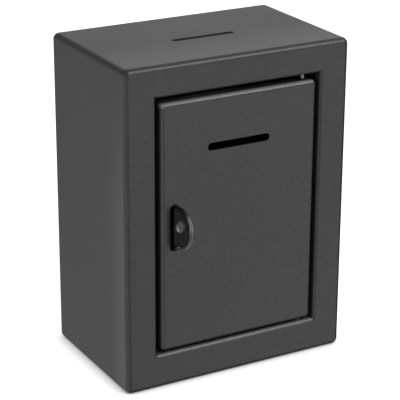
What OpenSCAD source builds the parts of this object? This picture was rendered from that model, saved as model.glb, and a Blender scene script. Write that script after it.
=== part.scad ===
// Donation box: a powder-coated sheet steel case with a slot in its top and an inset
// door with a slot of its own. The door swings on two pins at its right-hand side and
// is held at its left-hand side by a finger-pull cam lock.
// Millimetres. +Z is up, the door faces -Y, and the origin is the middle of the base.

/* [Case] */
// Width across the sides
case_w = 180; // [150:1:260]
// Depth from the front face to the back
case_d = 115; // [90:1:180]
// Height
case_h = 240; // [190:1:360]
// Sheet thickness of the case
sheet_t = 1.2; // [0.8:0.1:2]
// Outside radius of the bends along the edges of the case
case_r = 4.5; // [3:0.25:8]
// Width of the lip that turns in round the back
lip_w = 14; // [10:0.5:20]

/* [Door opening] */
// Width of the front frame at each side of the door
frame_side = 24; // [18:0.5:34]
// Height of the front frame above the door
frame_top = 22.5; // [18:0.5:34]
// Height of the front frame below the door
frame_bottom = 26; // [18:0.5:34]
// Radius of the bend round the opening
frame_r = 2.6; // [1.2:0.1:3]

/* [Door] */
// Gap between the door and the frame on the hinge side
gap_hinge = 2.7; // [2.2:0.1:5]
// Gap between the door and the frame on the lock side
gap_lock = 4.3; // [2:0.1:6]
// Gap above the door
gap_top = 5.2; // [2:0.1:8]
// Gap below the door, which the thrust washer fills
gap_bottom = 1.8; // [1.2:0.1:5]
// How far the door's face sits behind the frame's face
door_set = 0.8; // [0.8:0.1:2]
// Depth of the turned edges of the door
door_depth = 12; // [10:0.5:16]
// Sheet thickness of the door
door_t = 1.2; // [0.8:0.1:2]
// Outside radius of the bends round the door
door_r = 3.2; // [1.5:0.1:4]

/* [Slots] */
// Length of both slots
slot_len = 50; // [30:1:70]
// Width of the slot in the top
top_slot_w = 5; // [4.6:0.2:8]
// Distance from the front face to the middle of the slot in the top
top_slot_in = 53; // [35:1:60]
// Height of the slot in the door
door_slot_h = 5.8; // [4.6:0.2:8]
// Distance from the top of the door down to the middle of its slot
door_slot_drop = 36; // [20:1:45]

/* [Hinge] */
// Diameter of the hinge pins
pin_d = 3; // [2.5:0.25:4]
// Distance from the door's hinge edge in to the pins
pin_in = 9; // [7:0.25:12]
// Distance from the door's face back to the pins
pin_back = 5.5; // [4.5:0.25:7]
// Radial clearance of a pin in the frame
pin_clear = 0.06; // [0.03:0.01:0.1]
// Diameter of the pins' heads and of the washers on them
pin_head_d = 7; // [6:0.5:8.5]
// Thickness of the pins' heads
pin_head_t = 1.2; // [0.8:0.1:2]
// Thickness of the push-on clips
clip_t = 0.6; // [0.4:0.1:1]

/* [Door stops] */
// Height of each stop bracket
stop_h = 16; // [10:1:24]
// Distance of each stop bracket from the middle height of the door
stop_off = 60; // [45:1:65]
// How far a stop bracket reaches behind the door's turned edge
stop_reach = 4; // [2:0.5:6]
// Thickness of the rubber pads
pad_t = 1.2; // [0.8:0.1:2]
// Gap between a pad and the shut door
pad_gap = 0.3; // [0.2:0.05:0.6]

/* [Lock] */
// Distance from the door's lock edge in to the lock's axis
lock_in = 16; // [15:0.5:24]
// Height of the finger recess
recess_h = 35.5; // [34:0.5:42]
// How far the middle of the recess lies above the lock's axis
recess_up = 1.4; // [0:0.1:2]
// Distance from the lock's axis to the straight side of the recess
recess_left = 9.9; // [8.8:0.1:11]
// Distance from the lock's axis to the widest point of the round side
recess_right = 9; // [8.2:0.1:11]
// Radius of the round side of the recess
recess_r = 26.5; // [25:0.1:34]
// How far the middle of the round side lies below the lock's axis
recess_low = 4.5; // [3:0.1:7]
// Radius of the recess's lower round corner
recess_corner_r = 6; // [4:0.25:7]
// Radius of the recess's corners on the straight side
recess_edge_r = 3.5; // [2:0.25:4]
// Depth of the recess round the lock
pan_d = 4; // [3.5:0.1:5]
// Depth of the finger scoop along the straight side
scoop_d = 8.5; // [7:0.25:9]
// Wall thickness of the lock housing
cup_t = 1.2; // [1:0.1:1.4]
// Width of the housing's rim on the door
rim_w = 1.8; // [1.6:0.1:3.4]
// Thickness of the housing's rim
rim_t = 0.3; // [0.2:0.1:0.8]
// Diameter of the lock barrel
barrel_d = 12; // [11:0.25:13]
// Diameter of the lock plug
plug_d = 8; // [7.6:0.1:8.4]
// Radial clearance of the plug in the barrel
plug_clear = 0.05; // [0.03:0.01:0.1]
// Size across the flats of the lock nut
nut_af = 15; // [14:0.5:17]
// Thickness of the lock nut
nut_t = 2; // [1.6:0.1:3]
// Thickness of the saddle that the nut draws against the door
saddle_t = 1.4; // [1:0.1:2]
// Thickness of the cam
cam_t = 2; // [1.5:0.1:3]
// How far the cam reaches past the frame's turned edge
cam_catch = 7; // [4:0.5:10]
// Gap between the cam and the frame's turned edge
cam_gap = 0.7; // [0.4:0.1:1.5]

/* [Wall holes] */
// Diameter of the holes in the back
wall_hole_d = 6; // [4:0.5:8]
// Spacing of the holes across the back
wall_hole_x = 110; // [60:5:118]
// Spacing of the holes up the back
wall_hole_z = 170; // [80:5:180]

/* [Hidden] */
$fn = 64;

over = 1;                 // how far a cut runs past the face it opens
fit_gap = 0.1;            // gap between pieces that are clamped together
drop_in = 0.5;            // gap between the back sheet and the bends of the case

front_y = -case_d / 2;
back_y = case_d / 2;

open_x0 = frame_side - case_w / 2;
open_x1 = case_w / 2 - frame_side;
open_z0 = frame_bottom;
open_z1 = case_h - frame_top;

door_x0 = open_x0 + gap_lock;
door_x1 = open_x1 - gap_hinge;
door_z0 = open_z0 + gap_bottom;
door_z1 = open_z1 - gap_top;
door_w = door_x1 - door_x0;
door_h = door_z1 - door_z0;
door_face = front_y + door_set;
door_mid = (door_z0 + door_z1) / 2;

pin_x = door_x1 - pin_in;
pin_y = door_face + pin_back;
pin_r = pin_d / 2;
pin_tail = 1.6;           // how far a pin stands out past its clip
clip_gap = 0.2;           // play between a clip and the frame

lock_x = door_x0 + lock_in;
barrel_r = barrel_d / 2;
plug_r = plug_d / 2;
boss_face = 2.6;          // depth of the front end of the barrel in the recess
plug_face = 2.1;          // depth of the plug's face
scoop_start = -2.8;       // where the floor of the recess starts to fall
scoop_foot = 1.3;         // width of the flat at the bottom of the scoop
saddle_y = scoop_d + cup_t + fit_gap;
nut_y = saddle_y + saddle_t;
barrel_end = nut_y + nut_t + 0.2;
stop_t = 0.5;             // thickness of the stop washer
stop_y = barrel_end + 0.05;
cam_y = stop_y + stop_t;
cam_len = lock_in + gap_lock + sheet_t + cam_catch;
cam_hub_r = 8;
cam_w = 11;
tail_w = 5;               // square tail of the plug
spring_washer_t = 0.6;
screw_r = 1.5;
screw_head_r = 3.6;
screw_head_t = 1.6;
screw_len = 5;

return_d = door_set + cam_y - cam_gap;   // depth of the frame's turned edge

stop_back = max(return_d, door_set + door_depth + pad_gap + pad_t);
pad_front = door_set + door_depth + pad_gap;
stop_leg = 9;             // length of a stop bracket's leg along the frame's turned edge

wafer_count = 5;
wafer_pitch = 1.4;
wafer_first = 4.4;
wafer_t = 0.6;
wafer_w = 3;
wafer_h = 7;
wafer_play = 0.05;
keyway_end = wafer_first + (wafer_count - 1) * wafer_pitch + wafer_t + 0.4;
keyway_w = 1.4;
keyway_h = 5;
wing_h = 0.6;             // height of the wing that a wafer's spring bears on
plug_wall = 0.3;          // wall left between the keyway and the screw's hole
pocket_x = 2.8;           // how far a spring's pocket reaches from the plug's axis
pocket_h = 2.4;           // how far it reaches below the axis
boss_r = barrel_r - 0.5;  // front end of the barrel, inside the recess
post_r = plug_r + 0.6;    // post on the barrel's end that stops the plug
post_w = 1.6;
post_turn = -45;
saddle_w = 13;
saddle_room = 2;          // room between the cup and the saddle's legs
screw_cross = 3.6;

case_grey = [0.27, 0.27, 0.27];
lock_black = [0.12, 0.12, 0.12];
steel = [0.72, 0.72, 0.72];
brass = [0.75, 0.6, 0.3];
rubber = [0.08, 0.08, 0.08];

// A block with rounded edges and corners, centred in X and Y, standing on z = 0
module rounded_block(w, d, h, r) {
    ix = w / 2 - r;
    iy = d / 2 - r;
    iz = h / 2 - r;
    translate([0, 0, h / 2]) {
        cube([w, 2 * iy, 2 * iz], center = true);
        cube([2 * ix, d, 2 * iz], center = true);
        cube([2 * ix, 2 * iy, h], center = true);
        for (sx = [-1, 1], sy = [-1, 1])
            translate([sx * ix, sy * iy, 0]) cylinder(r = r, h = 2 * iz, center = true);
        for (sx = [-1, 1], sz = [-1, 1])
            translate([sx * ix, 0, sz * iz]) rotate([90, 0, 0]) cylinder(r = r, h = 2 * iy, center = true);
        for (sy = [-1, 1], sz = [-1, 1])
            translate([0, sy * iy, sz * iz]) rotate([0, 90, 0]) cylinder(r = r, h = 2 * ix, center = true);
        for (sx = [-1, 1], sy = [-1, 1], sz = [-1, 1])
            translate([sx * ix, sy * iy, sz * iz]) sphere(r = r);
    }
}

// A slot with round ends along X, cut along Z, centred on the origin
module round_slot(length, width, depth) {
    cube([length - width, width, depth], center = true);
    for (side = [-1, 1])
        translate([side * (length - width) / 2, 0, 0]) cylinder(d = width, h = depth, center = true);
}

// What a bend of radius r takes off one straight edge of the opening. The edge runs
// along X from 0, the opening lies on the +Y side, and the front face is z = 0.
module bend_cut(length, r) {
    difference() {
        linear_extrude(height = r)
            polygon([[0, 0], [length, 0], [length + r, -r], [-r, -r]]);
        translate([-2 * r, -r, r]) rotate([0, 90, 0]) cylinder(r = r, h = length + 4 * r);
    }
}

// The door opening's rounded front edge, all the way round
module opening_bends(r) {
    w = open_x1 - open_x0;
    h = open_z1 - open_z0;
    translate([open_x0, front_y, open_z0]) rotate([90, 0, 0]) mirror([0, 0, 1]) bend_cut(w, r);
    translate([open_x1, front_y, open_z1]) rotate([90, 180, 0]) mirror([0, 0, 1]) bend_cut(w, r);
    translate([open_x1, front_y, open_z0]) rotate([90, -90, 0]) mirror([0, 0, 1]) bend_cut(h, r);
    translate([open_x0, front_y, open_z1]) rotate([90, 90, 0]) mirror([0, 0, 1]) bend_cut(h, r);
}

// A bar through the door opening, grown outwards by a sheet's thickness or not at all
module opening_bar(grow, depth) {
    translate([open_x0 - grow, front_y, open_z0 - grow])
        cube([open_x1 - open_x0 + 2 * grow, depth, open_z1 - open_z0 + 2 * grow]);
}

// Case: front frame, sides, top and base in one, with the edges turned in at front and back
module body_shell() {
    color(case_grey) difference() {
        union() {
            difference() {
                rounded_block(case_w, case_d, case_h, case_r);
                translate([0, 0, sheet_t])
                    rounded_block(case_w - 2 * sheet_t, case_d - 2 * sheet_t, case_h - 2 * sheet_t,
                        case_r - sheet_t);
            }
            opening_bar(sheet_t, return_d);
        }
        translate([0, -over, 0]) opening_bar(0, return_d + 2 * over);
        opening_bends(frame_r);
        translate([lip_w - case_w / 2, back_y - 2 * sheet_t, lip_w])
            cube([case_w - 2 * lip_w, 4 * sheet_t, case_h - 2 * lip_w]);
        translate([0, front_y + top_slot_in, case_h])
            round_slot(slot_len, top_slot_w, 4 * sheet_t);
        for (z = [open_z0 - sheet_t / 2, open_z1 + sheet_t / 2])
            translate([pin_x, pin_y, z])
                cylinder(r = pin_r + pin_clear, h = sheet_t + 2 * over, center = true);
    }
}

// Back sheet, welded inside the lip, with four holes for screws into a wall
module back_panel() {
    edge = case_r + drop_in;
    color(case_grey) difference() {
        translate([edge - case_w / 2, back_y - 2 * sheet_t, edge])
            cube([case_w - 2 * edge, sheet_t, case_h - 2 * edge]);
        for (sx = [-1, 1], sz = [-1, 1])
            translate([sx * wall_hole_x / 2, back_y, case_h / 2 + sz * wall_hole_z / 2])
                rotate([90, 0, 0]) cylinder(d = wall_hole_d, h = 4 * sheet_t);
    }
}

// Bracket behind the door's turned edge, welded to the frame's turned edge
module door_stop(z) {
    leg_x = open_x0 - 2 * sheet_t;
    reach_x = door_x0 + door_t + stop_reach;
    color(case_grey) translate([0, front_y + stop_back, z - stop_h / 2]) {
        translate([leg_x, -stop_leg, 0]) cube([sheet_t, stop_leg + sheet_t, stop_h]);
        translate([leg_x, 0, 0]) cube([reach_x - leg_x, sheet_t, stop_h]);
    }
}

// Rubber pad on a stop bracket
module stop_pad(z) {
    pad_x0 = open_x0 + fit_gap;
    pad_x1 = door_x0 + door_t + stop_reach;
    color(rubber) translate([pad_x0, front_y + pad_front, z - stop_h / 2])
        cube([pad_x1 - pad_x0, stop_back - pad_front, stop_h]);
}

module door_stop_upper() { door_stop(door_mid + stop_off); }
module door_stop_lower() { door_stop(door_mid - stop_off); }
module stop_pad_upper() { stop_pad(door_mid + stop_off); }
module stop_pad_lower() { stop_pad(door_mid - stop_off); }

// Nylon washer that carries the door on the frame's lower edge
module hinge_thrust_washer() {
    color(rubber) translate([pin_x, pin_y, open_z0]) difference() {
        cylinder(d = pin_head_d, h = gap_bottom);
        translate([0, 0, -over]) cylinder(r = pin_r + fit_gap, h = gap_bottom + 2 * over);
    }
}

// Door: a shallow pan with rounded bends, a slot, a hole for the lock and two for the pins
module door_panel() {
    mid_x = (door_x0 + door_x1) / 2;
    color(case_grey) difference() {
        translate([mid_x, door_face, door_z0]) difference() {
            translate([0, door_depth, 0]) rounded_block(door_w, 2 * door_depth, door_h, door_r);
            translate([0, door_depth, door_t])
                rounded_block(door_w - 2 * door_t, 2 * (door_depth - door_t), door_h - 2 * door_t,
                    door_r - door_t / 2);
            translate([-door_w, door_depth, -over]) cube([2 * door_w, 2 * door_depth, door_h + 2 * over]);
        }
        translate([0, door_face, door_z1 - door_slot_drop]) rotate([90, 0, 0])
            round_slot(slot_len, door_slot_h, 4 * door_t);
        at_lock() depth_extrude(-over, door_t + over) recess_outline(cup_t + fit_gap);
        for (z = [door_z0 + door_t / 2, door_z1 - door_t / 2])
            translate([pin_x, pin_y, z]) cylinder(r = pin_r, h = door_t + 2 * over, center = true);
    }
}

// Hinge pin: its head is under the door's edge, and its other end passes the frame.
// It is drawn pointing up from the face of the door's edge.
module hinge_pin(gap) {
    color(steel) {
        translate([0, 0, -door_t - pin_head_t]) cylinder(d = pin_head_d, h = pin_head_t);
        translate([0, 0, -door_t - pin_head_t])
            cylinder(r = pin_r, h = pin_head_t + door_t + gap + sheet_t + clip_gap + clip_t + pin_tail);
    }
}

// Push-on clip that keeps a pin in the frame, drawn like the pin
module hinge_clip(gap) {
    color(steel) translate([0, 0, gap + sheet_t + clip_gap]) difference() {
        cylinder(d = pin_head_d, h = clip_t);
        translate([0, 0, -over]) cylinder(r = pin_r, h = clip_t + 2 * over);
        for (turn = [0, 120, 240])
            rotate([0, 0, turn]) translate([pin_r * 0.8, -0.3, -over]) cube([1.4, 0.6, clip_t + 2 * over]);
    }
}

module at_upper_pin() { translate([pin_x, pin_y, door_z1]) children(); }
module at_lower_pin() { translate([pin_x, pin_y, door_z0]) rotate([180, 0, 0]) children(); }
module hinge_pin_upper() { at_upper_pin() hinge_pin(gap_top); }
module hinge_pin_lower() { at_lower_pin() hinge_pin(gap_bottom); }
module hinge_clip_upper() { at_upper_pin() hinge_clip(gap_top); }
module hinge_clip_lower() { at_lower_pin() hinge_clip(gap_bottom); }

// The lock's own frame: its axis is x = z = 0, and y is the depth behind the door's face
module at_lock() { translate([lock_x, door_face, door_mid]) children(); }

// A flat shape in X and Z, given depth from y0 to y1
module depth_extrude(y0, y1) {
    translate([0, y1, 0]) rotate([90, 0, 0]) linear_extrude(height = y1 - y0) children();
}

// A cylinder along the lock's axis from y0 to y1
module barrel(r, y0, y1) {
    translate([0, y1, 0]) rotate([90, 0, 0]) cylinder(r = r, h = y1 - y0);
}

// What rounding takes off a corner whose point is the origin and whose sides are +X and +Y
module corner_cut(r) {
    difference() {
        translate([-over, -over]) square(r + over);
        translate([r, r]) circle(r = r);
    }
}

// Outline of the finger recess, grown by a wall: straight on the left, round on the right
module recess_outline(grow) {
    x0 = -recess_left - grow;
    x1 = recess_right + grow;
    z0 = recess_up - recess_h / 2 - grow;
    z1 = recess_up + recess_h / 2 + grow;
    difference() {
        intersection() {
            translate([x0, z0]) square([x1 - x0, z1 - z0]);
            translate([recess_right - recess_r, -recess_low]) circle(r = recess_r + grow, $fn = 180);
        }
        translate([x0, z0]) corner_cut(recess_edge_r + grow);
        translate([x0, z1]) mirror([0, 1]) corner_cut(recess_edge_r + grow);
        translate([x1, z0]) mirror([1, 0]) corner_cut(recess_corner_r + grow);
    }
}

// Side view of the recess's hollow, or of the cup round it when grown by a wall
module recess_profile(grow) {
    x0 = -recess_left - grow;
    x1 = recess_right + grow;
    linear_extrude(height = recess_h + 2 * recess_up + 4 * over + 2 * grow, center = true)
        polygon([[x0 - over, -over], [x1 + over, -over], [x1 + over, pan_d + grow],
            [scoop_start, pan_d + grow], [x0 + grow + scoop_foot, scoop_d + grow],
            [x0 - over, scoop_d + grow]]);
}

// Lock housing: rim, finger recess with its deep scoop, and the barrel of the lock
module lock_housing() {
    color(lock_black) at_lock() {
        difference() {
            union() {
                depth_extrude(-rim_t, 0) recess_outline(rim_w);
                intersection() {
                    depth_extrude(-fit_gap, scoop_d + cup_t) recess_outline(cup_t);
                    recess_profile(cup_t);
                }
                barrel(barrel_r, pan_d + cup_t / 2, barrel_end);
            }
            intersection() {
                depth_extrude(-over, scoop_d) recess_outline(0);
                recess_profile(0);
            }
            barrel(plug_r + plug_clear, 0, barrel_end + over);
        }
        difference() {
            barrel(boss_r, boss_face, barrel_end);
            barrel(plug_r + plug_clear, 0, barrel_end + over);
        }
        rotate([0, -post_turn, 0])
            translate([post_r, barrel_end - fit_gap, -post_w / 2]) cube([boss_r - post_r, fit_gap + stop_t, post_w]);
    }
}

// Saddle that bridges the recess behind the door
module lock_saddle() {
    half = recess_h / 2 + cup_t + saddle_room;
    color(steel) at_lock() {
        difference() {
            translate([-saddle_w / 2, saddle_y, recess_up - half - saddle_t])
                cube([saddle_w, saddle_t, 2 * (half + saddle_t)]);
            barrel(barrel_r + fit_gap, 0, barrel_end);
        }
        for (z = [recess_up - half - saddle_t, recess_up + half])
            translate([-saddle_w / 2, door_t, z]) cube([saddle_w, saddle_y + saddle_t - door_t, saddle_t]);
    }
}

module lock_nut() {
    color(steel) at_lock() depth_extrude(nut_y, nut_y + nut_t) difference() {
        circle(d = nut_af / cos(30), $fn = 6);
        circle(r = barrel_r + fit_gap / 2);
    }
}

// Plug with its keyway, the slots for the wafers, and a square tail with a screw hole
module lock_plug() {
    color(lock_black) at_lock() difference() {
        union() {
            barrel(plug_r, plug_face, stop_y);
            translate([-tail_w / 2, stop_y - over, -tail_w / 2])
                cube([tail_w, over + stop_t + cam_t - fit_gap, tail_w]);
        }
        translate([-keyway_w / 2, plug_face - over, -keyway_h / 2])
            cube([keyway_w, keyway_end + over - plug_face, keyway_h]);
        for (i = [0 : wafer_count - 1])
            translate([0, wafer_first + i * wafer_pitch - wafer_play, 0]) {
                translate([-wafer_w / 2 - wafer_play, 0, -plug_r])
                    cube([wafer_w + 2 * wafer_play, wafer_t + 2 * wafer_play, 2 * plug_r]);
                translate([0, 0, -pocket_h]) cube([pocket_x, wafer_t + 2 * wafer_play, 1.4 * pocket_h]);
            }
        barrel(screw_r, keyway_end + plug_wall, cam_y + cam_t + over);
    }
}

// Brass wafers, each with a window for the key and a wing for its spring
module lock_wafers() {
    color(brass) at_lock() for (i = [0 : wafer_count - 1])
        translate([0, wafer_first + i * wafer_pitch, 0]) depth_extrude(0, wafer_t) {
            difference() {
                square([wafer_w, wafer_h], center = true);
                square([keyway_w + 4 * wafer_play, keyway_h + 4 * wafer_play], center = true);
            }
            translate([wafer_w / 2, -wing_h / 2]) square([pocket_x - wafer_play - wafer_w / 2, wing_h]);
        }
}

// Zigzag leaf springs that push the wafers' wings up
module wafer_springs() {
    leaf = 0.35;
    x0 = wafer_w / 2 + 3 * wafer_play;
    x1 = pocket_x - 2 * wafer_play - leaf;
    z0 = -pocket_h + wafer_play;
    rise = (-wing_h / 2 - wafer_play - z0) / 3;
    path = [for (k = [0 : 3]) [k % 2 == 0 ? x0 : x1, z0 + k * rise]];
    back = [for (k = [3 : -1 : 0]) path[k] + [leaf, 0]];
    color(steel) at_lock() for (i = [0 : wafer_count - 1])
        translate([0, wafer_first + i * wafer_pitch, 0])
            depth_extrude(wafer_play, wafer_t - wafer_play) polygon(concat(path, back));
}

// Washer on the plug's tail: its notch lets the plug turn a quarter round the post
module stop_washer() {
    half = 45 + asin(post_w / 2 / post_r) + 1.5;
    reach = 2 * barrel_r;
    color(steel) at_lock() depth_extrude(stop_y, stop_y + stop_t) difference() {
        circle(r = barrel_r + 0.8);
        difference() {
            polygon([[0, 0], [reach * cos(half), -reach * sin(half)], [reach, -reach * sin(half)],
                [reach, reach * sin(half)], [reach * cos(half), reach * sin(half)]]);
            circle(r = post_r - 0.2);
        }
        square(tail_w + fit_gap, center = true);
    }
}

// Cam: hangs down while the lock is open, and turns up behind the frame to lock
module lock_cam() {
    color(steel) at_lock() depth_extrude(cam_y, cam_y + cam_t) difference() {
        union() {
            circle(r = cam_hub_r);
            translate([-cam_w / 2, -cam_len + cam_w / 2]) square([cam_w, cam_len - cam_w / 2]);
            translate([0, -cam_len + cam_w / 2]) circle(d = cam_w);
        }
        square(tail_w + fit_gap, center = true);
    }
}

// Split washer under the screw's head
module cam_spring_washer() {
    color(steel) at_lock() depth_extrude(cam_y + cam_t, cam_y + cam_t + spring_washer_t) difference() {
        circle(r = screw_head_r - 0.2);
        circle(r = screw_r + fit_gap);
        translate([0, -0.4]) square([screw_head_r, 0.8]);
    }
}

// Screw that holds the cam on the plug, with a cross cut in its head
module cam_screw() {
    head_y = cam_y + cam_t + spring_washer_t;
    color(steel) at_lock() difference() {
        union() {
            barrel(screw_head_r, head_y, head_y + screw_head_t);
            barrel(screw_r, head_y - screw_len, head_y + screw_head_t / 2);
        }
        for (turn = [0, 90])
            rotate([0, turn, 0]) translate([-screw_cross / 2, head_y + screw_head_t / 2, -0.4])
                cube([screw_cross, screw_head_t, 0.8]);
    }
}

body_shell();
back_panel();
door_stop_upper();
door_stop_lower();
stop_pad_upper();
stop_pad_lower();
hinge_thrust_washer();
door_panel();
hinge_pin_upper();
hinge_pin_lower();
hinge_clip_upper();
hinge_clip_lower();
lock_housing();
lock_saddle();
lock_nut();
lock_plug();
lock_wafers();
wafer_springs();
stop_washer();
lock_cam();
cam_spring_washer();
cam_screw();
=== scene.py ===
import math

import bmesh
import bpy
from mathutils import Matrix, Vector


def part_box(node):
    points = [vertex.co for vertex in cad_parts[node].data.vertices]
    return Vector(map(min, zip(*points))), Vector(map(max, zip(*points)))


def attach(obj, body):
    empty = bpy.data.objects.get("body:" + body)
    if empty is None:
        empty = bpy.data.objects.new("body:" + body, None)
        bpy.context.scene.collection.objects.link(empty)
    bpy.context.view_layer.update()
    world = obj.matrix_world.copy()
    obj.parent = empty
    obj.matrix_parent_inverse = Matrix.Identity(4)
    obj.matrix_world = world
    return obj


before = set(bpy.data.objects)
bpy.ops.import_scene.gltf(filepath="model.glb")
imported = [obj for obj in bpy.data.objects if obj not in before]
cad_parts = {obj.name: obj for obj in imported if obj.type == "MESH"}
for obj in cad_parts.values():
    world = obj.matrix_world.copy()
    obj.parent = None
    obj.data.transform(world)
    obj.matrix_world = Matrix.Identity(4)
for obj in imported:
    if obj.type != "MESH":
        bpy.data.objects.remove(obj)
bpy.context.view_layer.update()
print("frame loaded:", len(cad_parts), "nodes")

scene = bpy.context.scene
scene.view_settings.view_transform = "Standard"


def addObject(name, data):
    made = bpy.data.objects.new(name, data)
    scene.collection.objects.link(made)
    return made


class Wire:
    # one output socket, so that shader sums can be written as sums
    def __init__(self, tree, socket):
        self.tree = tree
        self.socket = socket

    def sum(self, operation, first, second):
        node = self.tree.nodes.new("ShaderNodeMath")
        node.operation = operation
        for socket, value in zip(node.inputs, (first, second)):
            fill(self.tree, socket, value)
        return Wire(self.tree, node.outputs[0])

    def __add__(self, other): return self.sum("ADD", self, other)
    def __radd__(self, other): return self.sum("ADD", other, self)
    def __sub__(self, other): return self.sum("SUBTRACT", self, other)
    def __rsub__(self, other): return self.sum("SUBTRACT", other, self)
    def __mul__(self, other): return self.sum("MULTIPLY", self, other)
    def __rmul__(self, other): return self.sum("MULTIPLY", other, self)
    def __truediv__(self, other): return self.sum("DIVIDE", self, other)
    def __pow__(self, other): return self.sum("POWER", self, other)
    def __abs__(self): return self.sum("ABSOLUTE", self, 0.0)
    def atLeast(self, other): return self.sum("MAXIMUM", self, other)


def fill(tree, socket, value):
    if isinstance(value, Wire):
        tree.links.new(value.socket, socket)
    else:
        socket.default_value = value


# sockets that share their name with others on the node, by their place
sameNamed = {"A_Color": 6, "B_Color": 7, "V0": 0, "V1": 1}


def socketIndex(node, key):
    # "From_Min" is the socket named From Min
    if key in sameNamed:
        return sameNamed[key]
    return [socket.name for socket in node.inputs].index(key.replace("_", " "))


class Wiring:
    # a node tree being wired up
    def __init__(self, tree):
        self.tree = tree

    def node(self, kind, settings=None, out=0, **sockets):
        made = self.tree.nodes.new(kind)
        for key, value in (settings or {}).items():
            setattr(made, key, value)
        for key, value in sockets.items():
            fill(self.tree, made.inputs[socketIndex(made, key)], value)
        return Wire(self.tree, made.outputs[out])

    def band(self, value, low, high, first=0.0, last=1.0):
        # value between low and high, smoothly remapped to first..last
        return self.node("ShaderNodeMapRange", {"interpolation_type": "SMOOTHSTEP"},
                         Value=value, From_Min=low, From_Max=high, To_Min=first, To_Max=last)

    def towards(self, direction, axis):
        # cosine of the angle between a direction and a fixed axis
        return self.node("ShaderNodeVectorMath", {"operation": "DOT_PRODUCT"}, out="Value",
                         V0=direction, V1=tuple(Vector(axis).normalized()))

    def asGrey(self, level):
        return self.node("ShaderNodeCombineColor", Red=level, Green=level, Blue=level)


class Finish(Wiring):
    # a surface material under construction, with its pattern on object coordinates
    def __init__(self, name):
        self.material = bpy.data.materials.new(name)
        self.material.use_nodes = True
        super().__init__(self.material.node_tree)
        self.shader = self.tree.nodes["Principled BSDF"]
        self.place = self.node("ShaderNodeTexCoord", out="Object")

    def noise(self, scale, detail, roughness):
        return self.node("ShaderNodeTexNoise", out="Fac", Vector=self.place,
                         Scale=scale, Detail=detail, Roughness=roughness)

    def axes(self):
        split = self.node("ShaderNodeSeparateXYZ", Vector=self.place)
        return [Wire(self.tree, socket) for socket in split.socket.node.outputs]

    def patch(self, along, where, start=1.0):
        # a soft-edged patch: an axis, where the patch starts on it and where it is full
        for axis, edge, full in where:
            start = start * self.band(along[axis], edge, full)
        return start

    def blend(self, amount, first, second):
        return self.node("ShaderNodeMix", {"data_type": "RGBA"}, out=2,
                         Factor=amount, A_Color=first, B_Color=second)

    def bump(self, height, strength, distance, under=None):
        sockets = {"Height": height, "Strength": strength, "Distance": distance}
        if under is not None:
            sockets["Normal"] = under
        return self.node("ShaderNodeBump", **sockets)

    def set(self, **sockets):
        for key, value in sockets.items():
            fill(self.tree, self.shader.inputs[key.replace("_", " ")], value)
        return self.material


def grey(level, warm=0.0):
    return (level * (1 + warm), level, level * (1 - warm), 1)


def dress(material, *names):
    for name in names:
        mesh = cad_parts[name].data
        mesh.materials.clear()
        mesh.materials.append(material)


# in all finishes a pattern is its scale, detail and roughness, a bump its strength and depth in metres

# black powder coat: tones, patterns and their share in the tone, gloss
powder = {"base": 0.033, "dark": 0.76, "light": 1.36, "warm": 0.01,
          "cloud": (9, 3.0, 0.55), "peel": (480, 2.0, 0.5), "swing": (0.3, 0.7),
          "grain": (1500, 3.0, 0.6), "fine": (4200, 1.0, 0.5), "fleck": (0.62, 0.75),
          "cloudShare": 0.3, "peelShare": 0.45, "fleckShare": 0.3,
          "peelBump": (0.5, 0.0001), "grainBump": (0.5, 0.00005), "grainMix": 0.7, "fineMix": 0.3,
          "rough": 0.32, "cloudRough": 0.1, "fineRough": 0.06, "paintedLightGrain": (0.2, 0.6, 0.75, 1.0)}

# painted light on the bends: mostly painted highlights, and painted shade on the case's right front bend; an
# axis, where the patch starts and where it is full
# on the door: painted highlights on the top bend, the left bend and the top left corner
doorPaintedLight = [
    {"tone": 0.155, "rough": 0.30, "where": [("z", 0.21054, 0.21182), ("y", -0.05254, -0.0535)]},
    {"tone": 0.085, "rough": 0.34, "where": [("x", -0.0595, -0.0607), ("y", -0.0535, -0.0545)]},
    {"tone": 0.18, "rough": 0.32, "where": [("x", -0.0583, -0.0596), ("z", 0.2092, 0.2104),
                                            ("y", -0.0505, -0.0525)]},
]
# on the case: painted highlights on the opening's sill, the top's front, the left side by its front bend and
# the bottom front bend; painted shade on the right front bend
casePaintedLight = [
    {"tone": 0.10, "rough": 0.32, "where": [("z", 0.0237, 0.0246), ("z", 0.0276, 0.0268),
                                            ("away", 0.0656, 0.0640), ("y", -0.0540, -0.0550)]},
    {"tone": 0.055, "rough": 0.37, "where": [("z", 0.2388, 0.23985), ("y", 0.005, -0.051)]},
    {"tone": 0.058, "rough": 0.37, "where": [("x", -0.0892, -0.0899), ("y", -0.028, -0.0530),
                                             ("y", -0.0548, -0.0534), ("z", 0.235, 0.130)]},
    {"tone": 0.014, "rough": 0.40, "where": [("x", 0.0852, 0.0885), ("y", -0.0520, -0.0540)]},
    {"tone": 0.085, "rough": 0.37, "where": [("z", 0.0031, 0.0012), ("y", -0.0500, -0.0530)]},
]


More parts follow.
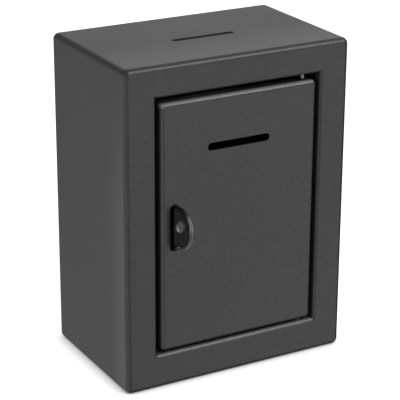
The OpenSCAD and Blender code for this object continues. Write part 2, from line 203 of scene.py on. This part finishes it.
def powderCoat(name, share, paintedLightPatches):
    make = Finish(name)
    base = powder["base"] * share
    grain, fine, cloud, peel = (make.noise(*powder[key]) for key in ("grain", "fine", "cloud", "peel"))
    tone = make.band(cloud, *powder["swing"], 0.0, powder["cloudShare"])
    tone = tone + make.band(peel, *powder["swing"], 0.0, powder["peelShare"])
    tone = tone + make.band(fine, *powder["fleck"]) * powder["fleckShare"]
    colour = make.blend(tone, grey(base * powder["dark"]), grey(base * powder["light"], powder["warm"]))
    rough = powder["rough"] + powder["cloudRough"] * cloud + powder["fineRough"] * fine
    x, y, z = make.axes()
    along = {"x": x, "y": y, "z": z, "away": abs(x)}
    # each patch paints a highlight or a shade over the coat's own colour
    for paintedLightPatch in paintedLightPatches:
        paintedLight = make.patch(along, paintedLightPatch["where"], make.band(grain, *powder["paintedLightGrain"]))
        colour = make.blend(paintedLight, colour, grey(paintedLightPatch["tone"]))
        rough = rough * (1 - paintedLight) + paintedLightPatch["rough"] * paintedLight
    surface = make.bump(peel, *powder["peelBump"])
    surface = make.bump(grain * powder["grainMix"] + fine * powder["fineMix"], *powder["grainBump"], surface)
    return make.set(Base_Color=colour, Roughness=rough, Normal=surface)


# moulded black: tones of the smears, pores and gloss
moulded = {"dark": 0.85, "light": 1.3, "pores": (2600, 2.0, 0.6), "smear": (120, 4.0, 0.6),
           "smearFrom": (0.35, 0.7), "smearRough": 0.12, "poreMix": 0.6, "smearMix": 0.4,
           "bump": (0.25, 0.00004)}


def mouldedBlack(name, base, rough):
    make = Finish(name)
    pores = make.noise(*moulded["pores"])
    smear = make.noise(*moulded["smear"])
    colour = make.blend(make.band(smear, *moulded["smearFrom"]),
                        grey(base * moulded["dark"]), grey(base * moulded["light"]))
    surface = make.bump(pores * moulded["poreMix"] + smear * moulded["smearMix"], *moulded["bump"])
    return make.set(Base_Color=colour, Roughness=rough + moulded["smearRough"] * smear, Normal=surface)


# plated metal: drawing lines along z under a cloudy bloom
plated = {"stretch": (900, 900, 120), "lineDetail": 3.0, "lineRough": 0.05, "bloom": (260, 4.0, 0.6),
          "bloomFrom": (0.35, 0.75), "bloomTone": 0.72, "bloomRough": 0.16, "bump": (0.2, 0.00003)}


def platedSteel(name, tint, rough, shadedBand=None):
    make = Finish(name)
    drawn = make.node("ShaderNodeMapping", Vector=make.place, Scale=plated["stretch"])
    lines = make.node("ShaderNodeTexNoise", out="Fac", Vector=drawn, Scale=1.0, Detail=plated["lineDetail"])
    bloom = make.noise(*plated["bloom"])
    dull = tuple(part * plated["bloomTone"] for part in tint)
    colour = make.blend(make.band(bloom, *plated["bloomFrom"]), (*tint, 1), (*dull, 1))
    # painted shade on the pins' stretch next to the door
    if shadedBand:
        height = make.axes()[2]
        dark = make.band(abs(height - shadedBand["middle"]),
                         shadedBand["reach"] + shadedBand["edge"], shadedBand["reach"] - shadedBand["edge"])
        colour = make.blend(dark, colour, grey(shadedBand["tone"]))
    rough = rough + plated["bloomRough"] * bloom + plated["lineRough"] * lines
    surface = make.bump(lines, *plated["bump"])
    return make.set(Base_Color=colour, Metallic=1.0, Roughness=rough, Normal=surface)


# rubber and nylon: a matt skin with dust on it
soft = {"skin": (3200, 2.0, 0.7), "dust": (400, 3.0, 0.6), "dustFrom": (0.5, 0.8), "dustTone": 2.2,
        "dustRough": 0.15, "bump": (0.3, 0.00005)}


def softBlack(name, base, rough):
    make = Finish(name)
    dust = make.noise(*soft["dust"])
    colour = make.blend(make.band(dust, *soft["dustFrom"]), grey(base), grey(base * soft["dustTone"]))
    surface = make.bump(make.noise(*soft["skin"]), *soft["bump"])
    return make.set(Base_Color=colour, Roughness=rough + soft["dustRough"] * dust, Normal=surface)


# the pins are painted dark, as shade, up to this far above and below mid height
pinShade = {"middle": 0.12, "reach": 0.0938, "edge": 0.0005, "tone": 0.03}

casePaint = powderCoat("casePaint", 0.98, casePaintedLight)
doorPaint = powderCoat("doorPaint", 1.08, doorPaintedLight)
lockBlack = mouldedBlack("lockBlack", 0.012, 0.28)
plugBlack = mouldedBlack("plugBlack", 0.010, 0.34)
zinc = platedSteel("zincPlate", (0.60, 0.60, 0.58), 0.3)
pinSteel = platedSteel("pinSteel", (0.36, 0.36, 0.35), 0.42, pinShade)
brass = platedSteel("wafersBrass", (0.72, 0.52, 0.24), 0.25)
nylon = softBlack("blackNylon", 0.014, 0.42)
rubber = softBlack("padRubber", 0.016, 0.62)

dress(casePaint, "body_shell", "back_panel", "door_stop_upper", "door_stop_lower")
dress(doorPaint, "door_panel")
dress(rubber, "stop_pad_upper", "stop_pad_lower")
dress(nylon, "hinge_thrust_washer")
dress(pinSteel, "hinge_pin_upper", "hinge_pin_lower", "hinge_clip_upper", "hinge_clip_lower")
dress(zinc, "lock_saddle", "lock_nut", "stop_washer", "lock_cam", "cam_spring_washer", "cam_screw",
      "wafer_springs")
dress(lockBlack, "lock_housing")
dress(plugBlack, "lock_plug")
dress(brass, "lock_wafers")
print("finishes done")


# the lock's front is drawn in mm from the lock's axis: sideways, upwards, and depth behind the door's face
plugLow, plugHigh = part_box("lock_plug")
lockAt = (Vector(plugLow) + Vector(plugHigh)) / 2
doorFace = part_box("door_panel")[0][1]

skinThick = 0.03    # of the sheets that are laid over the lock


def lockPoint(side, rise, depth):
    return (lockAt.x + side / 1000, doorFace + depth / 1000, lockAt.z + rise / 1000)


def lockAxes(make):
    # sideways, upwards and depth, as in lockPoint
    x, y, z = make.axes()
    return (x - lockAt.x) * 1000, (z - lockAt.z) * 1000, (y - doorFace) * 1000


def smooth(value, low, high):
    part = min(1.0, max(0.0, (value - low) / (high - low)))
    return part * part * (3 - 2 * part)


def roundTrip(points, steps):
    # a closed smooth curve through the points, with every number on them carried along
    out = []
    count = len(points)
    for i in range(count):
        a, b, c, d = (points[(i + k) % count] for k in (-1, 0, 1, 2))
        for step in range(steps):
            t = step / steps
            out.append([0.5 * (2 * q + (r - p) * t + (2 * p - 5 * q + 4 * r - s) * t * t
                               + (3 * q - p - 3 * r + s) * t ** 3) for p, q, r, s in zip(a, b, c, d)])
    return out


def outwards(curve):
    # the curve runs clockwise, so this side of it points out
    normals = []
    for index, behind in enumerate(curve[-1:] + curve[:-1]):
        ahead = curve[(index + 1) % len(curve)]
        along = Vector((ahead[0] - behind[0], ahead[1] - behind[1])).normalized()
        normals.append((-along.y, along.x))
    return normals


def ringSheet(name, rings, materials, split=0):
    # quads between closed rings of points, the outermost first; past the split the second material is on
    count = len(rings[0])
    faces = []
    for row in range(len(rings) - 1):
        for i in range(count):
            j = (i + 1) % count
            faces.append((row * count + i, row * count + j, (row + 1) * count + j, (row + 1) * count + i))
    mesh = bpy.data.meshes.new(name)
    mesh.from_pydata([spot for ring in rings for spot in ring], [], faces)
    if sum(face.normal.y * face.area for face in mesh.polygons) > 0:
        mesh.flip_normals()
    mesh.polygons.foreach_set("use_smooth", [True] * len(mesh.polygons))
    for material in materials:
        mesh.materials.append(material)
    if len(materials) > 1:
        mesh.polygons.foreach_set("material_index", [int(i >= split * count) for i in range(len(faces))])
    piece = addObject(name, mesh)
    wall = piece.modifiers.new("wall", "SOLIDIFY")
    wall.thickness = skinThick / 1000
    wall.offset = -1
    return piece


# the pressed lip: a swell over the door, a roll into the opening, and the wall down to the pan
lip = {
    # outline of the opening: sideways, upwards, how far in the wall's foot is
    "outline": [
        (-6.6, 19.1, 0.4), (-4.5, 18.5, 0.6), (-2.4, 17.0, 1.1), (-0.5, 15.4, 1.3), (1.7, 13.45, 1.3),
        (3.45, 11.45, 1.35), (5.05, 9.1, 1.4), (6.55, 6.2, 1.5), (7.65, 3.4, 1.6), (8.5, 0.2, 1.6),
        (8.82, -3.0, 1.6), (8.75, -6.8, 1.45), (8.4, -10.2, 1.2), (7.65, -12.5, 1.0), (6.5, -14.4, 0.8),
        (5.1, -15.8, 0.6), (3.1, -16.25, 0.6), (1.2, -16.25, 0.8), (-0.4, -16.2, 1.6), (-1.6, -16.2, 1.9),
        (-2.8, -16.2, 1.6), (-4.4, -16.2, 0.7), (-6.4, -16.2, 0.4), (-8.1, -15.6, 0.3), (-9.2, -14.2, 0.25),
        (-9.55, -12.0, 0.2), (-9.6, -6.0, 0.2), (-9.6, 0.0, 0.2), (-9.6, 6.0, 0.2), (-9.6, 12.0, 0.2),
        (-9.5, 15.8, 0.2), (-8.6, 18.0, 0.3)],
    "steps": 10,                                    # points between two of the outline
    "reach": 5.2, "crest": 0.43,                    # how far the swell runs out, and how proud it stands
    "leftReach": 3.0, "leftCrest": 0.79,            # the same on the straight left side
    "leftFacing": (0.3, 0.9), "leftFrom": (-16, -8), "leftTo": (11, 18),
    "rim": [(0.1, 0.03), (0.05, -0.010)],           # thin outer edge: out past the swell, and depth
    "lift": 0.012, "leftSwell": 1.6,
    "roll": 0.8, "rollFrom": 0.45, "crestWide": 0.1,
    "slope": 60,                                    # degrees the lip turns before the wall goes straight on
    "floor": 2.4, "wallLean": 1.15, "wallEase": 1.25,
    "swellSteps": 8, "rollSteps": 8, "wallSteps": 10,
}


def lipRings(curve, normals):
    slope = math.radians(lip["slope"])
    columns = []
    for (side, rise, foot), (nx, nz) in zip(curve, normals):
        leftward = (smooth(-nx, *lip["leftFacing"]) * smooth(rise, *lip["leftFrom"])
                    * (1 - smooth(rise, *lip["leftTo"])))
        reach = lip["reach"] + (lip["leftReach"] - lip["reach"]) * leftward
        crest = lip["crest"] + (lip["leftCrest"] - lip["crest"]) * leftward
        path = [(reach + past, depth) for past, depth in lip["rim"]]
        for part in range(lip["swellSteps"] + 1):
            t = part / lip["swellSteps"]
            climb = smooth(t, 0, 1) * (1 - leftward) + t ** lip["leftSwell"] * leftward
            path.append((reach + (lip["rollFrom"] + lip["crestWide"] - reach) * t,
                         -lip["lift"] - (crest - lip["lift"]) * climb))
        for part in range(lip["rollSteps"] + 1):
            turn = slope * part / lip["rollSteps"]
            path.append((lip["rollFrom"] - lip["roll"] * math.sin(turn),
                         -crest + lip["roll"] * (1 - math.cos(turn))))
        out, depth = path[-1]
        for part in range(1, lip["wallSteps"] + 1):
            t = part / lip["wallSteps"]
            path.append((out - (foot + out) * t ** lip["wallLean"],
                         depth + (lip["floor"] - depth) * (1 - (1 - t) ** lip["wallEase"])))
        columns.append([lockPoint(side + nx * far, rise + nz * far, deep) for far, deep in path])
    return [list(ring) for ring in zip(*columns)]


# the finger pan: a floor with a deep scoop on the left, a ledge between them, and a collar round the plug
pan = {"bore": 4.06, "boreDepth": 2.56, "steps": 56,
       "pit": 5.6,                                  # how much deeper the scoop is
       "ledge": (-4.3, -14.0, 14.8),                # left edge, lowest and highest
       "ledgeCorner": 2.0, "ledgeFall": 1.8, "ledgeEnd": (0.0, 1.5), "bossFree": (5.6, 6.3),
       "collar": (3.0, 5.0), "collarAt": (0.0, -0.3), "collarRise": 0.8, "collarEdge": (0.82, 1.04)}


def panDepth(side, rise):
    left, low, high = pan["ledge"]
    corner = pan["ledgeCorner"]
    across = side - left
    up = min(high - rise, rise - low)
    if across < corner and up < corner:                    # round the ledge's corners
        inside = corner - math.hypot(corner - across, corner - up)
    else:
        inside = min(across, up)
    fall = 1 - smooth(inside, -pan["ledgeFall"], 0.0)
    fall *= 1 - smooth(side, *pan["ledgeEnd"])
    fall *= smooth(math.hypot(side, rise), *pan["bossFree"])
    oval = math.hypot((side - pan["collarAt"][0]) / pan["collar"][0],
                      (rise - pan["collarAt"][1]) / pan["collar"][1])
    return lip["floor"] + pan["pit"] * fall - pan["collarRise"] * (1 - smooth(oval, *pan["collarEdge"]))


def panRings(curve, normals):
    feet = [(side - nx * foot, rise - nz * foot) for (side, rise, foot), (nx, nz) in zip(curve, normals)]
    bore = [(side / math.hypot(side, rise) * pan["bore"], rise / math.hypot(side, rise) * pan["bore"])
            for side, rise in feet]
    rings = [[lockPoint(*foot, lip["floor"]) for foot in feet]]
    for part in range(1, pan["steps"] + 1):
        t = part / pan["steps"]
        places = [(side + (inX - side) * t, rise + (inZ - rise) * t)
                  for (side, rise), (inX, inZ) in zip(feet, bore)]
        rings.append([lockPoint(*place, panDepth(*place)) for place in places])
    rings.append([lockPoint(*place, pan["boreDepth"]) for place in bore])
    return rings


# the swell has painted shade left of the opening; the wall has a painted highlight opposite the scoop and
# painted shade beside it
lipShade = {"tone": 0.010, "rough": 0.3, "where": [("side", -13.4, -10.6), ("side", -6.0, -8.5),
                                                   ("rise", -13.0, -8.0), ("rise", 19.5, 14.0)]}
lipPaint = {"share": 1.02, "cloud": (300, 3.0, 0.6), "bump": (0.4, 0.00005),
            "rough": 0.35, "cloudRough": 0.1}
wallHighlight = {"tone": 0.36, "lowTone": 0.17, "middle": 1.0, "core": (3.2, 8.5),
            "depth": (-0.41, -0.3), "lowDepth": (-0.42, -0.385), "lowRise": (-4.0, -8.0),
            "foot": (1.9, 2.38), "mottle": (0.25, 0.65, 0.8, 1.0),
            "where": [("side", 2.5, 6.0), ("rise", 12.0, 5.0)]}
wallShade = {"rough": 0.3, "depth": (-0.42, -0.2), "edge": (-8.6, -9.1), "left": (-3.4, -4.9),
             "middle": (3.2, -0.6), "lowFade": (-2.0, -6.0, 1.0, 0.35)}

# the finger pan itself is matt and nearly black, and its deep scoop is painted near black as shade
panTone = {"floor": 0.019, "pit": 0.0008, "collar": 0.075, "pitShadeDepth": (2.45, 4.2), "pitShadeSide": (-4.2, -5.5),
           "collarEdge": (1.02, 0.92), "grain": (900, 3.0, 0.65), "cloud": (260, 2.0, 0.6),
           "grainMix": 0.6, "cloudMix": 0.4, "mottle": (0.36, 0.62, 0.62, 1.35),
           "bump": (0.5, 0.00012), "rough": 0.72, "specular": 0.02}


def lipFinish(make, colour, cloud, matt):
    rough = lipPaint["rough"] + lipPaint["cloudRough"] * cloud + matt
    surface = make.bump(make.noise(*powder["grain"]), *lipPaint["bump"])
    return make.set(Base_Color=colour, Roughness=rough, Normal=surface)


def swellPaint():
    make = Finish("swellPaint")
    side, rise = lockAxes(make)[:2]
    # painted shade on the swell beside the scoop
    lipShadeMask = make.patch({"side": side, "rise": rise}, lipShade["where"])
    colour = make.blend(lipShadeMask, grey(powder["base"] * lipPaint["share"]), grey(lipShade["tone"]))
    return lipFinish(make, colour, make.noise(*lipPaint["cloud"]), lipShade["rough"] * lipShadeMask)


def wallPaint():
    make = Finish("wallPaint")
    side, rise, depth = lockAxes(make)
    cloud = make.noise(*lipPaint["cloud"])
    # painted highlight: a light grey crescent on the wall opposite the scoop, brightest at mid height
    low = make.band(depth, *wallHighlight["lowDepth"]) * make.band(rise, *wallHighlight["lowRise"])
    paintedLight = make.patch({"side": side, "rise": rise}, wallHighlight["where"],
                      make.band(depth, *wallHighlight["depth"]).atLeast(low))
    paintedLight = paintedLight * (1 - make.band(depth, *wallHighlight["foot"])) * make.band(cloud, *wallHighlight["mottle"])
    core = 1 - make.band(abs(rise - wallHighlight["middle"]), *wallHighlight["core"])
    bare = make.asGrey(wallHighlight["lowTone"] * (1 - core) + wallHighlight["tone"] * core)
    middle = make.band(side, *wallShade["middle"]) * make.band(rise, *wallShade["lowFade"])
    # painted shade: the wall beside and below the scoop is painted near black
    shade = make.band(depth, *wallShade["depth"]).atLeast(make.band(side, *wallShade["edge"]))
    shade = shade * middle.atLeast(make.band(side, *wallShade["left"]))
    paint = make.blend(shade, grey(powder["base"] * lipPaint["share"]), grey(panTone["pit"]))
    return lipFinish(make, make.blend(paintedLight, paint, bare), cloud, wallShade["rough"] * shade)


def panBlack():
    make = Finish("panBlack")
    side, rise, depth = lockAxes(make)
    grain = make.noise(*panTone["grain"])
    cloud = make.noise(*panTone["cloud"])
    # painted shade: the deep scoop and the pan left of the ledge are painted near black
    pit = make.band(depth, *panTone["pitShadeDepth"]).atLeast(make.band(side, *panTone["pitShadeSide"]))
    mottle = make.band(grain * panTone["grainMix"] + cloud * panTone["cloudMix"], *panTone["mottle"])
    across = (side - pan["collarAt"][0]) / pan["collar"][0]
    up = (rise - pan["collarAt"][1]) / pan["collar"][1]
    collar = make.band((across ** 2 + up ** 2) ** 0.5, *panTone["collarEdge"])
    tone = mottle * (panTone["floor"] * (1 - collar) + panTone["collar"] * collar)
    tone = tone * (1 - pit) + panTone["pit"] * pit
    return make.set(Base_Color=make.asGrey(tone), Roughness=panTone["rough"],
                    Normal=make.bump(grain, *panTone["bump"]), Specular_IOR_Level=panTone["specular"])


# the plug's face: an oval nose round the keyway, from its foot over the crest and the dish into the slot
nose = {"half": (2.9, 3.78), "slot": (0.46, 2.6), "slotSquare": (0.45, 0.85), "aside": -0.7, "lean": 14,
        "steps": 96,
        "profile": [(0.0, 2.13), (0.02, 1.95), (0.07, 1.74), (0.14, 1.62), (0.24, 1.56), (0.36, 1.58),
                    (0.5, 1.65), (0.66, 1.71), (0.82, 1.74), (0.95, 1.745), (1.0, 1.78), (1.0, 2.09)]}
# the shutter that closes the keyway: share of the slot's size, and depth
flap = {"half": (0.43, 2.56), "profile": [(1.0, 2.09), (1.0, 1.98), (0.9, 1.9), (0.5, 1.9), (0.16, 1.9),
                                          (0.1, 1.96), (0.0, 1.97)]}
# the nose is painted lighter on its left and darker on its right as light and shade, with a painted
# highlight low on its left
noseTone = {"face": 0.062, "highlight": 0.21, "flap": 0.018, "flapHighlight": 0.04,
            "scratch": (700, 4.0, 0.7), "fine": (2600, 2.0, 0.6), "scratchMix": 0.7, "fineMix": 0.3,
            "bump": (0.35, 0.00005), "rough": 0.34, "scratchRough": 0.14,
            "fall": (-2.5, 2.5, 0.0, 0.45), "light": 1.2, "dark": 0.5,
            "highlightAt": (-2.2, -1.7), "highlightEdge": (2.5, 1.2), "paintedLightGrain": (0.3, 0.6, 0.7, 1.0)}


def softOval(half, turn, square=(1, 1)):
    c, s = math.cos(turn), math.sin(turn)
    across = half[0] * math.copysign(abs(c) ** square[0], c)
    up = half[1] * math.copysign(abs(s) ** square[1], s)
    lean = math.radians(nose["lean"])
    return (nose["aside"] + across * math.cos(lean) - up * math.sin(lean),
            across * math.sin(lean) + up * math.cos(lean))


def plugRings(profile, place):
    turns = [-2 * math.pi * (i + 0.5) / nose["steps"] for i in range(nose["steps"])]
    return [[lockPoint(*place(turn, share), depth) for turn in turns] for share, depth in profile]


def nosePlace(turn, share):
    outer = softOval(nose["half"], turn)
    inner = softOval(nose["slot"], turn, nose["slotSquare"])
    return outer[0] + (inner[0] - outer[0]) * share, outer[1] + (inner[1] - outer[1]) * share


def flapPlace(turn, share):
    side, rise = softOval(flap["half"], turn, nose["slotSquare"])
    return nose["aside"] + (side - nose["aside"]) * share, rise * share


def noseSteel(name, tone, highlight):
    make = Finish(name)
    side, rise = lockAxes(make)[:2]
    scratch = make.noise(*noseTone["scratch"])
    fine = make.noise(*noseTone["fine"])
    across, up = side - noseTone["highlightAt"][0], rise - noseTone["highlightAt"][1]
    paintedLight = make.band((across ** 2 + up ** 2) ** 0.5, *noseTone["highlightEdge"])
    paintedLight = paintedLight * make.band(scratch, *noseTone["paintedLightGrain"])
    # painted light and shade across the face, then the painted highlight
    colour = make.blend(make.band(side, *noseTone["fall"]),
                        grey(tone * noseTone["light"]), grey(tone * noseTone["dark"]))
    colour = make.blend(paintedLight, colour, grey(highlight))
    surface = make.bump(scratch * noseTone["scratchMix"] + fine * noseTone["fineMix"], *noseTone["bump"])
    rough = noseTone["rough"] + noseTone["scratchRough"] * scratch
    return make.set(Base_Color=colour, Roughness=rough, Normal=surface)


lipCurve = roundTrip(lip["outline"], lip["steps"])
lipNormals = outwards(lipCurve)
swellRows = len(lip["rim"]) + lip["swellSteps"] + 1

plugNose = ringSheet("plug_nose", plugRings(nose["profile"], nosePlace),
                     [noseSteel("noseSteel", noseTone["face"], noseTone["highlight"])])
shutter = ringSheet("keyway_shutter", plugRings(flap["profile"], flapPlace),
                    [noseSteel("shutterSteel", noseTone["flap"], noseTone["flapHighlight"])])
for piece in (plugNose, shutter):
    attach(piece, "lock_core")
surround = ringSheet("lock_surround", lipRings(lipCurve, lipNormals), [swellPaint(), wallPaint()], swellRows)
fingerPan = ringSheet("lock_pan", panRings(lipCurve, lipNormals), [panBlack()])
for piece in (surround, fingerPan):
    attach(piece, "door")
print("lock front done")


# spot welds that hold the back panel inside the case's back lip: ring marks with a pressed middle
spotWelds = {"Width": 0.160, "Height": 0.224, "Count": 24,
             "Ring Radius": 0.0019, "Ring Wire": 0.00022, "Ring Steps": 28, "Wire Steps": 8,
             "Middle Radius": 0.0011, "Middle Top": 0.00055, "Middle Height": 0.00012, "Middle Steps": 24}


class Geometry(Wiring):
    # a geometry tree being wired up; its inputs are named and filled by the socket's identifier
    def __init__(self, name, inputs):
        super().__init__(bpy.data.node_groups.new(name, "GeometryNodeTree"))
        self.tree.interface.new_socket("Geometry", in_out="OUTPUT", socket_type="NodeSocketGeometry")
        self.sockets = {}
        for key, value in inputs.items():
            kind = "NodeSocketInt" if isinstance(value, int) else "NodeSocketFloat"
            self.sockets[key] = self.tree.interface.new_socket(key, in_out="INPUT", socket_type=kind)
        self.entry = self.tree.nodes.new("NodeGroupInput")
        self.exit = self.tree.nodes.new("NodeGroupOutput")

    def given(self, key):
        return Wire(self.tree, self.entry.outputs[key])

    def join(self, *parts):
        made = self.tree.nodes.new("GeometryNodeJoinGeometry")
        for part in parts:
            fill(self.tree, made.inputs[0], part)
        return Wire(self.tree, made.outputs[0])

    def build(self, name, result, material, values):
        # instances made real, the finish set, and the result turned into a plain mesh
        real = self.node("GeometryNodeRealizeInstances", Geometry=result)
        dressed = self.node("GeometryNodeSetMaterial", Geometry=real, Material=material)
        fill(self.tree, self.exit.inputs[0], dressed)
        piece = addObject(name, bpy.data.meshes.new(name + "Seed"))
        modifier = piece.modifiers.new("nodes", "NODES")
        modifier.node_group = self.tree
        for key, value in values.items():
            modifier[self.sockets[key].identifier] = value
        graph = bpy.context.evaluated_depsgraph_get()
        mesh = bpy.data.meshes.new_from_object(piece.evaluated_get(graph))
        piece.modifiers.remove(modifier)
        shell = bmesh.new()
        shell.from_mesh(mesh)
        bmesh.ops.recalc_face_normals(shell, faces=shell.faces)
        shell.to_mesh(mesh)
        shell.free()
        mesh.name = name
        piece.data = mesh
        return piece


def makeSpotWelds():
    caseLow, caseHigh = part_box("body_shell")
    make = Geometry("spotWeldRow", spotWelds)
    loop = make.node("GeometryNodeCurvePrimitiveQuadrilateral", {"mode": "RECTANGLE"},
                     Width=make.given("Width"), Height=make.given("Height"))
    spots = make.node("GeometryNodeResampleCurve", Curve=loop, Count=make.given("Count"))
    line = make.node("GeometryNodeCurvePrimitiveCircle",
                     Resolution=make.given("Ring Steps"), Radius=make.given("Ring Radius"))
    wire = make.node("GeometryNodeCurvePrimitiveCircle",
                     Resolution=make.given("Wire Steps"), Radius=make.given("Ring Wire"))
    ring = make.node("GeometryNodeCurveToMesh", Curve=line, Profile_Curve=wire)
    middle = make.node("GeometryNodeMeshCone", Vertices=make.given("Middle Steps"),
                       Radius_Top=make.given("Middle Top"), Radius_Bottom=make.given("Middle Radius"),
                       Depth=make.given("Middle Height"))
    rows = make.node("GeometryNodeInstanceOnPoints", Points=spots, Instance=make.join(ring, middle))
    placed = make.node("GeometryNodeTransform", Geometry=rows, Rotation=(-math.pi / 2, 0, 0),
                       Translation=(0, caseHigh[1], (caseLow[2] + caseHigh[2]) / 2))
    welds = make.build("spot_welds", placed, casePaint, spotWelds)
    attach(welds, "case")


makeSpotWelds()
print("spot welds done")


# the floor is white to the camera, with a painted contact shadow from ambient occlusion right beside the
# box; shiny surfaces see the room instead
studio = {"floorSize": 12.0, "floorTone": 0.42, "floorGlow": 0.98, "contact": 0.012, "soft": 0.32}

# what shiny surfaces see: a white window band at the back, two pale cards low down, dark between them
room = {"floor": 0.02, "wall": 0.26, "ceiling": 0.01, "ceilingFrom": (0.25, 0.6), "wallFrom": (0.0, 0.3)}
window = {"at": (0.54, 0.80, 0.28), "tone": 0.76, "edge": (0.78, 0.95), "top": (0.46, 0.60)}
rightCard = {"at": (0.46, -0.80, -0.36), "tone": 1.0, "edge": (0.74, 0.93)}
leftCard = {"at": (-0.90, 0.06, -0.36), "tone": 0.91, "edge": (0.28, 0.78)}


def makeFloor():
    half = studio["floorSize"] / 2
    mesh = bpy.data.meshes.new("studioFloor")
    corners = [(-half, -half, 0), (half, -half, 0), (half, half, 0), (-half, half, 0)]
    mesh.from_pydata(corners, [], [(0, 1, 2, 3)])
    floor = addObject("studioFloor", mesh)
    material = bpy.data.materials.new("floorWhite")
    material.use_nodes = True
    make = Wiring(material.node_tree)
    nodes = make.tree.nodes
    nodes.remove(nodes["Principled BSDF"])
    contactShadow = make.node("ShaderNodeAmbientOcclusion", out="AO", Distance=studio["contact"])
    toCamera = make.node("ShaderNodeLightPath", out="Is Camera Ray")
    both = nodes.new("ShaderNodeAddShader")
    fill(make.tree, both.inputs[0], make.node("ShaderNodeBsdfDiffuse", Color=grey(studio["floorTone"])))
    fill(make.tree, both.inputs[1], make.node("ShaderNodeEmission", Color=make.asGrey(contactShadow),
                                              Strength=toCamera * studio["floorGlow"]))
    make.tree.links.new(both.outputs[0], nodes["Material Output"].inputs["Surface"])
    mesh.materials.append(material)
    floor.visible_glossy = False


def cardSeen(make, direction, card):
    return make.band(make.towards(direction, card["at"]), *card["edge"], 0.0, card["tone"])


def makeWorld():
    world = bpy.data.worlds.new("studioWorld")
    world.use_nodes = True
    scene.world = world
    make = Wiring(world.node_tree)
    direction = make.node("ShaderNodeTexCoord", out="Generated")
    height = make.node("ShaderNodeSeparateXYZ", out="Z", Vector=direction)
    toCamera, glossy, through = (make.node("ShaderNodeLightPath", out=kind)
                                 for kind in ("Is Camera Ray", "Is Glossy Ray", "Is Transmission Ray"))
    below = cardSeen(make, direction, rightCard) + cardSeen(make, direction, leftCard)
    rise = make.band(height, *room["wallFrom"])
    above = make.band(height, *room["ceilingFrom"], room["wall"], room["ceiling"])
    pane = cardSeen(make, direction, window) * make.band(height, *window["top"], 1.0, 0.0)
    seen = (below.atLeast(room["floor"]) * (1 - rise) + above * rise).atLeast(pane)
    shiny = glossy.atLeast(through)
    level = toCamera + (1 - toCamera) * (shiny * seen + (1 - shiny) * studio["soft"])
    background = make.tree.nodes["Background"]
    background.inputs["Color"].default_value = grey(1)
    fill(make.tree, background.inputs["Strength"], level)


# place, size and power of each lamp, and whether shiny surfaces mirror it; all point at the box's middle
middleOfBox = (0, 0, 0.12)
lamps = {
    "keySoftbox": {"at": (0.68, -0.78, 1.31), "size": (0.6, 0.55), "power": 9.5, "mirrored": True},
    "frontFill": {"at": (0.3, -1.35, 1.2), "size": (1.2, 0.9), "power": 14, "mirrored": False},
    "leftFill": {"at": (-1.5, 0.0, 0.35), "size": (0.9, 0.5), "power": 10, "mirrored": False},
    "backFill": {"at": (0.1, 1.8, 0.42), "size": (1.2, 0.6), "power": 10, "mirrored": False},
}


def makeLamps():
    for name, lamp in lamps.items():
        data = bpy.data.lights.new(name, "AREA")
        data.shape = "RECTANGLE"
        data.size, data.size_y = lamp["size"]
        data.energy = lamp["power"]
        light = addObject(name, data)
        light.location = lamp["at"]
        aim = Vector(middleOfBox) - Vector(lamp["at"])
        light.rotation_euler = aim.to_track_quat("-Z", "Y").to_euler()
        light.visible_camera = False
        light.visible_glossy = lamp["mirrored"]


# the camera looks at the box's middle from the front left, a little from above
camera = {"yaw": 29.35, "pitch": 20.85, "roll": 0.26, "lens": 147.4, "sensor": 36, "distance": 1.2106,
          "aside": 0.00061, "drop": 0.00569}


def makeCamera():
    yaw, pitch, roll = (math.radians(camera[key]) for key in ("yaw", "pitch", "roll"))
    ahead = Vector((math.sin(yaw) * math.cos(pitch), math.cos(yaw) * math.cos(pitch), -math.sin(pitch)))
    level = Vector((math.cos(yaw), -math.sin(yaw), 0))
    upright = level.cross(ahead)
    right = math.cos(roll) * level + math.sin(roll) * upright
    up = math.cos(roll) * upright - math.sin(roll) * level
    spot = Vector(middleOfBox) - camera["distance"] * ahead + camera["aside"] * right - camera["drop"] * up
    data = bpy.data.cameras.new("studioCamera")
    data.lens = camera["lens"]
    data.sensor_width = camera["sensor"]
    view = addObject("studioCamera", data)
    view.matrix_world = Matrix([[right[i], up[i], -ahead[i], spot[i]] for i in range(3)] + [[0, 0, 0, 1]])
    scene.camera = view


makeFloor()
makeWorld()
makeLamps()
makeCamera()
print("studio done")
